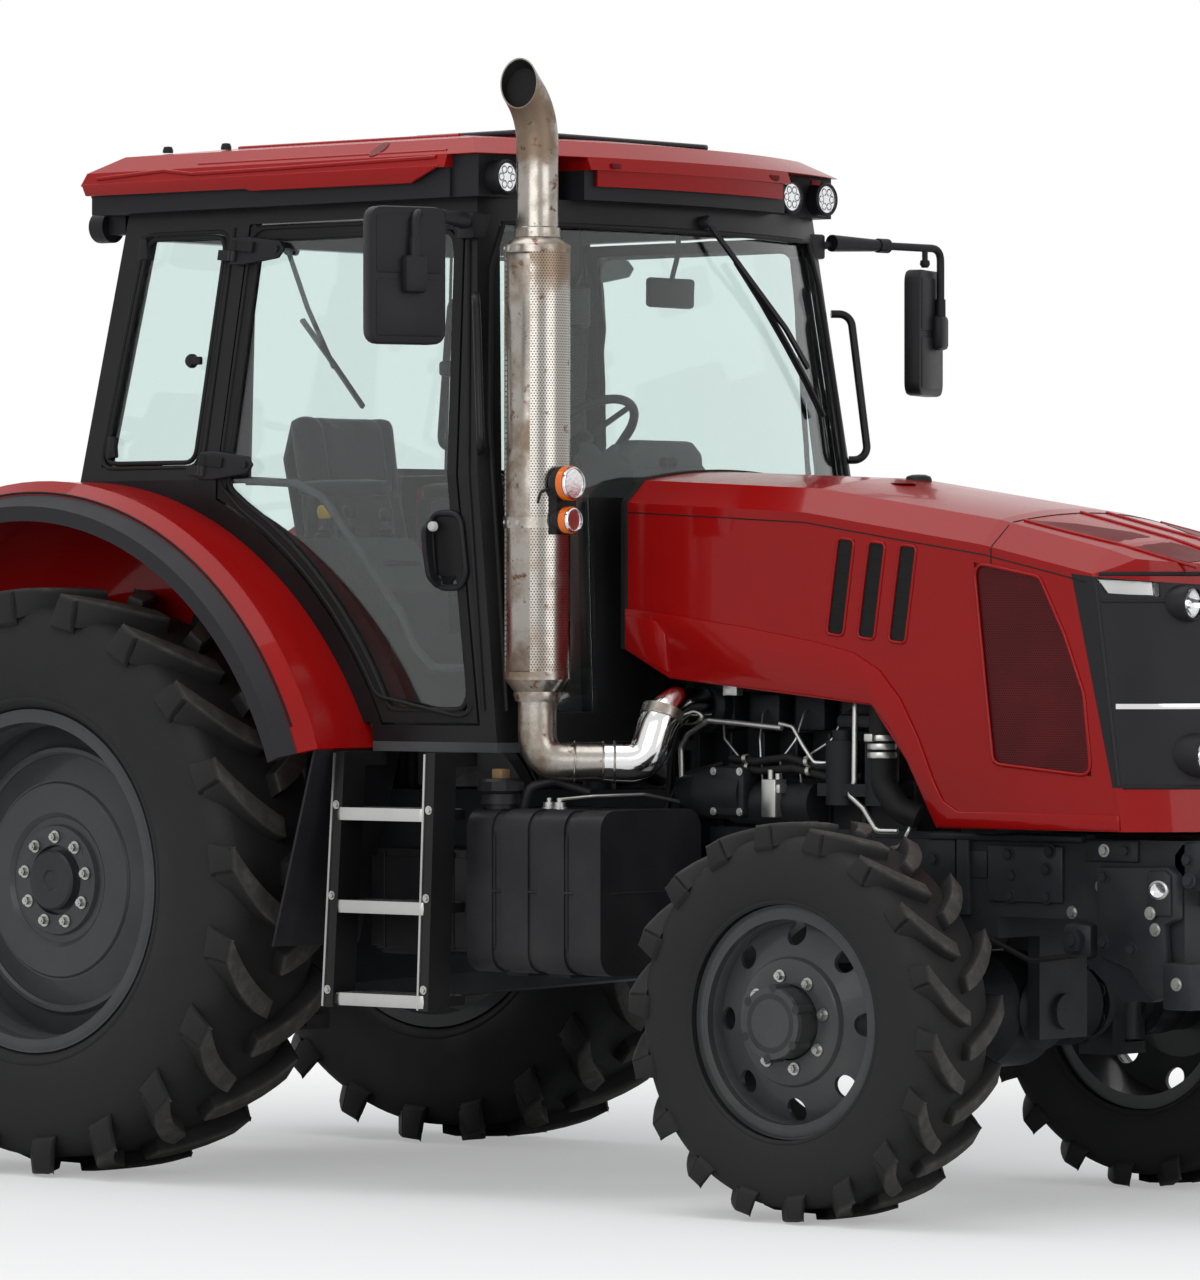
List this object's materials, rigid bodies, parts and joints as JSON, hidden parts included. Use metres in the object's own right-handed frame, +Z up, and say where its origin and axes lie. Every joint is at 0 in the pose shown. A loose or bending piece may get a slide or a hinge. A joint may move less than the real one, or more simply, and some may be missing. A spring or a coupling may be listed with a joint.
{
  "type": "farm tractor",
  "caption": "Farm tractor with closed glazed cab, tilting hood, upright side exhaust, driven steered front axle, large lugged rear tyres, steps, drawbar and rear three-point linkage",
  "frame": {"origin": "on the ground under the centre of the machine's bounding box", "axes": "+X forward along the machine, +Y to the driver's left, +Z up"},
  "size_m": [4.8896, 2.7274, 3.256],
  "materials": {
    "red_paint": "gloss",
    "chassis_grey": "satin",
    "engine_grey": "satin",
    "engine_black": "satin",
    "black_metal": "satin",
    "black_plastic": "matt",
    "stainless": "stained, brushed",
    "polished_steel": "polished",
    "tinted_glass": "clear, pale tint",
    "lamp_glass": "clear",
    "dark_red_mesh": "satin, perforated",
    "seat_fabric": "woven",
    "rim_paint": "satin",
    "tyre": "matt"
  },
  "bodies": {
    "chassis": {"engine": "engine_grey", "engine_fittings": "engine_black", "transmission": "chassis_grey", "rear_axle": "chassis_grey", "front_frame": "chassis_grey", "front_axle": "chassis_grey", "radiator": "black_metal", "fuel_tanks": "black_plastic", "side_boxes": "black_plastic", "cab_steps": "black_metal", "exhaust_pipe": "stainless", "muffler": "stainless", "cab_floor": "black_plastic", "cab_frame": "black_metal", "roof_shell": "red_paint", "roof_liner": "black_plastic", "cab_glass": "tinted_glass", "driver_seat": "seat_fabric", "console": "black_plastic", "fenders": "red_paint", "fender_flares": "black_plastic", "mirrors": "black_plastic", "lamp_housings": "black_plastic", "lamp_lenses": "lamp_glass", "handrails": "black_metal", "drawbar": "black_metal", "top_link": "black_metal"},
    "hood": {"hood_shell": "red_paint", "hood_nose": "red_paint", "grille": "black_plastic", "hood_screens": "dark_red_mesh", "headlamps": "lamp_glass"},
    "lower_links": {"lower_links": "black_metal"},
    "lift_arms": {"lift_arms": "black_metal"},
    "lift_rods": {"lift_rods": "black_metal"},
    "steering_rod": {"steering_rod": "polished_steel"},
    "steering_wheel": {"steering_wheel": "black_plastic"},
    "rear_wheel_left": {"rear_tyre_left": "tyre", "rear_rim_left": "rim_paint"},
    "front_wheel_left": {"front_tyre_left": "tyre", "front_rim_left": "rim_paint"},
    "knuckle_left": {"knuckle_left": "chassis_grey"},
    "door_left": {"door_frame_left": "black_plastic", "door_glass_left": "tinted_glass"},
    "rear_wheel_right": {"rear_tyre_right": "tyre", "rear_rim_right": "rim_paint"},
    "front_wheel_right": {"front_tyre_right": "tyre", "front_rim_right": "rim_paint"},
    "knuckle_right": {"knuckle_right": "chassis_grey"},
    "door_right": {"door_frame_right": "black_plastic", "door_glass_right": "tinted_glass"}
  },
  "joints": [
    {"name": "rear_wheel_left_spin", "type": "hinge", "parent": "chassis", "child": "rear_wheel_left", "pos_m": [-1.315, 0.88, 0.868], "axis": [0, 1, 0], "continuous": true},
    {"name": "rear_wheel_right_spin", "type": "hinge", "parent": "chassis", "child": "rear_wheel_right", "pos_m": [-1.315, -0.88, 0.868], "axis": [0, 1, 0], "continuous": true},
    {"name": "knuckle_left_steer", "type": "hinge", "parent": "chassis", "child": "knuckle_left", "pos_m": [1.435, 0.63, 0.545], "axis": [0, 0, 1], "range_deg": [-40, 40]},
    {"name": "front_wheel_left_spin", "type": "hinge", "parent": "knuckle_left", "child": "front_wheel_left", "pos_m": [1.435, 0.805, 0.545], "axis": [0, 1, 0], "continuous": true},
    {"name": "knuckle_right_steer", "type": "hinge", "parent": "chassis", "child": "knuckle_right", "pos_m": [1.435, -0.63, 0.545], "axis": [0, 0, 1], "range_deg": [-40, 40]},
    {"name": "front_wheel_right_spin", "type": "hinge", "parent": "knuckle_right", "child": "front_wheel_right", "pos_m": [1.435, -0.805, 0.545], "axis": [0, 1, 0], "continuous": true},
    {"name": "steering_rod_slide", "type": "slide", "parent": "chassis", "child": "steering_rod", "axis": [0, 1, 0], "range_m": [-0.106, 0.106]},
    {"name": "steering_wheel_turn", "type": "hinge", "parent": "chassis", "child": "steering_wheel", "pos_m": [-0.112, 0, 2.164], "axis": [-0.6557, 0, 0.755], "range_deg": [-725, 725]},
    {"name": "hood_hinge", "type": "hinge", "parent": "chassis", "child": "hood", "pos_m": [0.485, 0, 2.01], "axis": [0, -1, 0], "range_deg": [0, 50]},
    {"name": "door_left_hinge", "type": "hinge", "parent": "chassis", "child": "door_left", "pos_m": [-0.815, 0.868, 2.09], "axis": [0.0943, -0.1068, 0.9898], "range_deg": [0, 70]},
    {"name": "door_right_hinge", "type": "hinge", "parent": "chassis", "child": "door_right", "pos_m": [-0.815, -0.868, 2.09], "axis": [-0.0943, -0.1068, -0.9898], "range_deg": [0, 70]},
    {"name": "lower_links_lift", "type": "hinge", "parent": "chassis", "child": "lower_links", "pos_m": [-1.515, 0, 0.48], "axis": [0, 1, 0], "range_deg": [-15, 30]},
    {"name": "lift_arms_lift", "type": "hinge", "parent": "chassis", "child": "lift_arms", "pos_m": [-1.515, 0, 1.09], "axis": [0, 1, 0], "range_deg": [-15, 30]},
    {"name": "lift_rods_swing", "type": "hinge", "parent": "lift_arms", "child": "lift_rods", "pos_m": [-1.91143, 0, 1.14333], "axis": [0, 1, 0], "range_deg": [-30, 15]}
  ],
  "couplings": [
    {"joint": "knuckle_right_steer", "follows": "knuckle_left_steer", "ratio": 1},
    {"joint": "steering_rod_slide", "follows": "knuckle_left_steer", "m_per_rad": -0.14732},
    {"joint": "steering_wheel_turn", "follows": "knuckle_left_steer", "ratio": 18},
    {"joint": "lift_arms_lift", "follows": "lower_links_lift", "ratio": 1},
    {"joint": "lift_rods_swing", "follows": "lower_links_lift", "ratio": -1}
  ]
}
